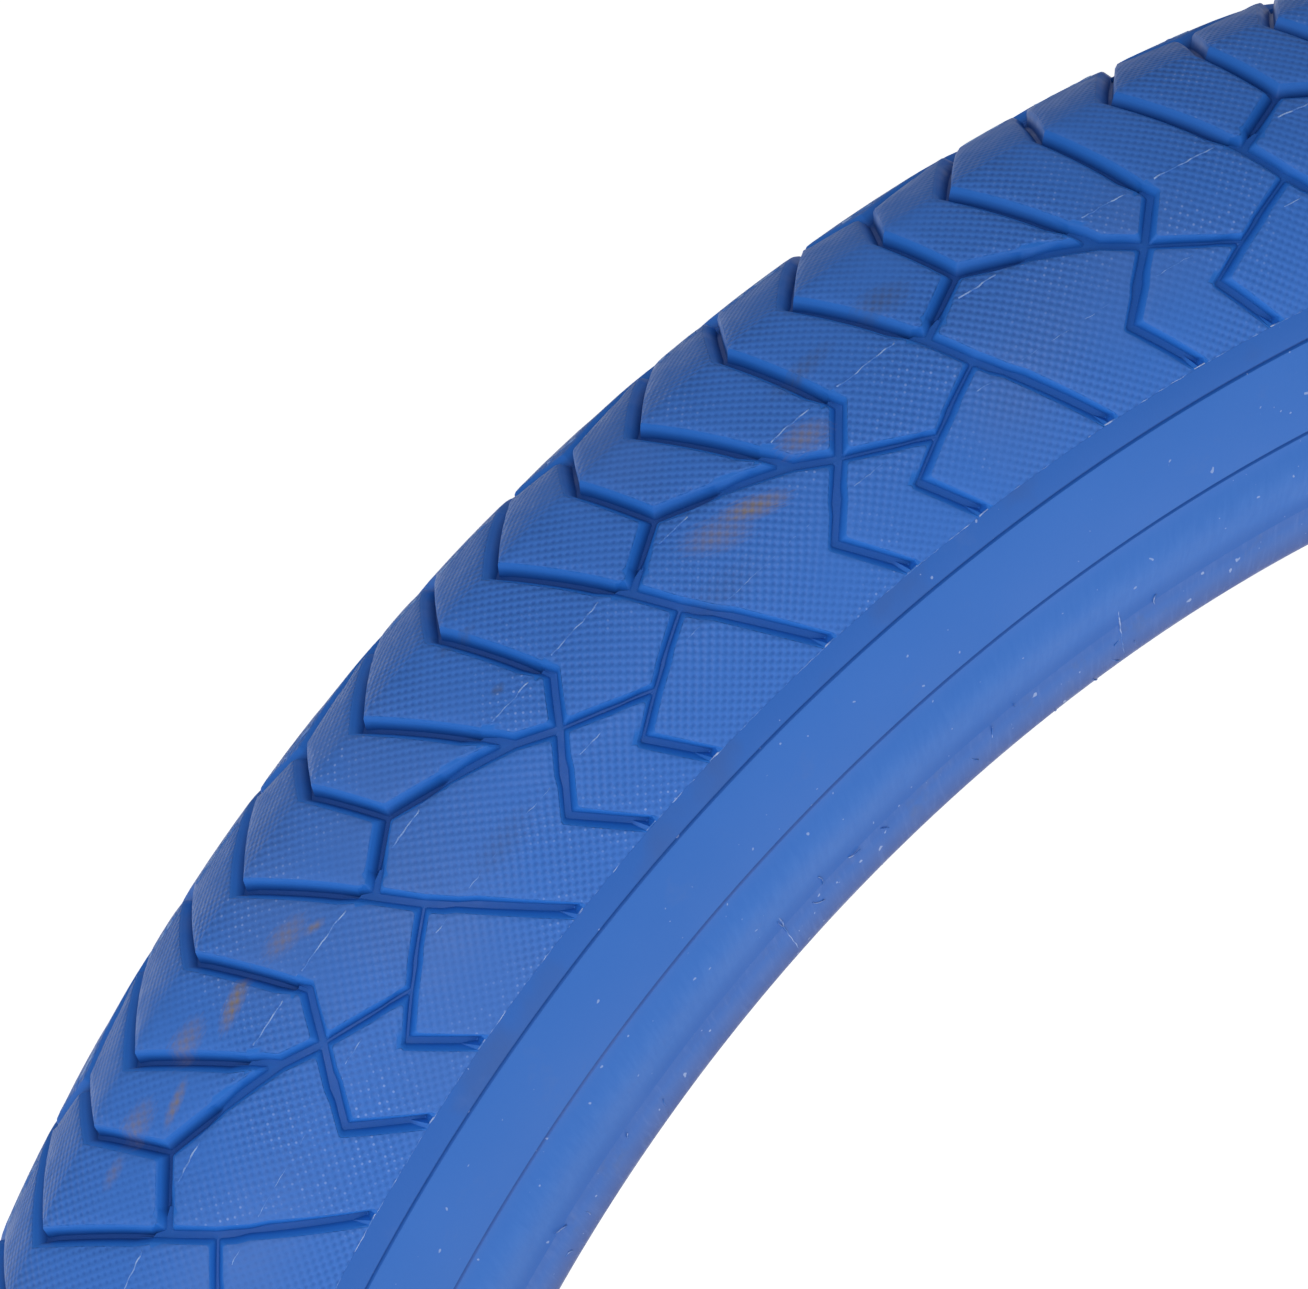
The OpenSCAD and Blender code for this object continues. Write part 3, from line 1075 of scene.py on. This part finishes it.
def whiskers():
    """Small curled shreds of rubber left along each bead."""
    rng = random.Random(29)
    threads = []
    for side in (-1, 1):
        for _ in range(WHISKERS):
            angle = rng.uniform(0, 2 * math.pi)
            down = rng.uniform(CREASE - 1, BEAD_START + 2.5)
            heading = rng.uniform(0, 2 * math.pi)
            length = rng.uniform(0.5, 2.2)
            curl = rng.uniform(-1.4, 1.4)
            path = []
            for step in range(6):
                width = rng.uniform(0.10, 0.18)
                path.append((angle, down, 0.04 + 0.03 * step, width))
                angle += math.cos(heading) * length / 5 / SEAT_R
                down += math.sin(heading) * length / 5
                heading += curl / 5
            threads.append((side, path))
    return threads


def threads_mesh(name, threads):
    """Thin three-sided strands. Each runs through points of (wheel angle, distance down the
    skin, height above it, width)."""
    coords = []
    faces = []
    for side, path in threads:
        first = len(coords)
        for i, (angle, down, lift, width) in enumerate(path):
            before = path[max(0, i - 1)]
            after = path[min(len(path) - 1, i + 1)]
            along = Vector(((after[0] - before[0]) * SEAT_R, after[1] - before[1])).normalized()
            for across, rise in ((-0.5, -0.5), (0.0, 0.4), (0.5, -0.5)):
                place = skin(down + along.x * across * width, -(lift + rise * width))
                coords.append(around(place, angle - along.y * across * width / SEAT_R, side))
        for i in range(len(path) - 1):
            a = first + i * 3
            for k in range(3):
                j = (k + 1) % 3
                faces.append((a + k, a + j, a + 3 + j, a + 3 + k))
        last = first + len(path) * 3 - 3
        faces.append((first, first + 1, first + 2))
        faces.append((last + 2, last + 1, last))
    return closed_mesh(name, coords, faces)


def groove_lines():
    """The middle lines of all the grooves, as pairs of flat points."""
    lines = []
    for names in BLOCKS:
        for side in block_sides(names):
            if side.half_width:
                lines.append((side.start, side.end))
    return lines


GROOVE_LINES = groove_lines()


def in_groove(angle, down):
    """Whether a place on the tread is over a groove."""
    if down > TREAD_EDGE - 0.1:
        return False
    x = (FIRST_POINT - angle) / REPEAT_ANGLE % 1.0 * FLAT_PITCH
    for start, end in GROOVE_LINES:
        for shift in (-FLAT_PITCH, 0.0, FLAT_PITCH):
            p = Vector((x + shift, down))
            along = end - start
            t = max(0.0, min(1.0, (p - start).dot(along) / along.length_squared))
            if (start + along * t - p).length < CENTRE_HALF_WIDTH + GROOVE_REACH:
                return True
    return False


# ---------------------------------------------------------------------------------------------
# Making
# ---------------------------------------------------------------------------------------------
def paint_cad_nodes():
    """The sealed inner pieces keep their CAD shape and get their own materials."""
    steel = bead_steel()
    tape = woven("bead_cloth", (0.58, 0.55, 0.48), (0.30, 0.28, 0.24), 0.7)
    strip = woven("puncture_strip", (0.55, 0.46, 0.16), (0.30, 0.24, 0.08), 0.9)
    filler = filler_rubber()
    coats = {
        "breaker_strip": strip,
        "outer_ply": cord_ply("outer_cord_ply", -1.0),
        "inner_ply": cord_ply("inner_cord_ply", 1.0),
    }
    for side in ("left", "right"):
        coats[side + "_bead_wires"] = steel
        coats[side + "_bead_wrap"] = tape
        coats[side + "_bead_filler"] = filler
    for name, material in coats.items():
        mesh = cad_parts[name].data
        mesh.materials.clear()
        mesh.materials.append(material)


def add_rubber():
    """The pieces that replace the CAD tread, sidewalls and chafers."""
    add_piece("block_tread", build_tread(), tread_rubber(), ["tread"])
    wall_coat = sidewall_rubber()
    bead_coat = chafer_rubber()
    for name, side in (("left", -1), ("right", 1)):
        wall = turned_mesh(name + "_moulded_sidewall", sidewall_section(), side)
        add_piece(name + "_moulded_sidewall", wall, wall_coat, [name + "_sidewall"])
        bead = turned_mesh(name + "_round_bead", bead_section(), side)
        add_piece(name + "_round_bead", bead, bead_coat, [name + "_chafer"])


def add_flash():
    """The flash rings of the tread, and the seams and whiskers of the bead bands."""
    low = flash_rubber("low_flash_rubber", (0.27, 0.41, 0.71))
    torn = flash_rubber("torn_flash_rubber", (0.38, 0.49, 0.76))
    for name, coat, down, height, width, wander, seed, gaps in (
        ("ring_joint_flash", low, RING_JOINT, 0.14, 0.26, 0.45, 3.0, 0.40),
        ("outer_joint_flash", low, OUTER_JOINT, 0.09, 0.20, 0.35, 7.0, -0.18),
        ("tread_edge_flash", torn, TREAD_EDGE, 0.14, 0.28, 0.08, 11.0, -0.06),
    ):
        ridge = flash_ridge(name, down, height, width, wander, seed, gaps)
        add_piece(name, ridge, coat)
    for name, threads in (("bead_mould_seams", mould_seams()), ("bead_whiskers", whiskers())):
        add_piece(name, threads_mesh(name, threads), torn)


bpy.context.scene.view_settings.view_transform = "Standard"
add_camera()
add_world(0.33)
add_softbox("key", azimuth=35, height=22, distance=1.1, size=0.8, power=5.6)
add_softbox("top", azimuth=90, height=50, distance=1.8, size=1.6, power=3.5)
add_floor()
paint_cad_nodes()
add_rubber()
add_flash()
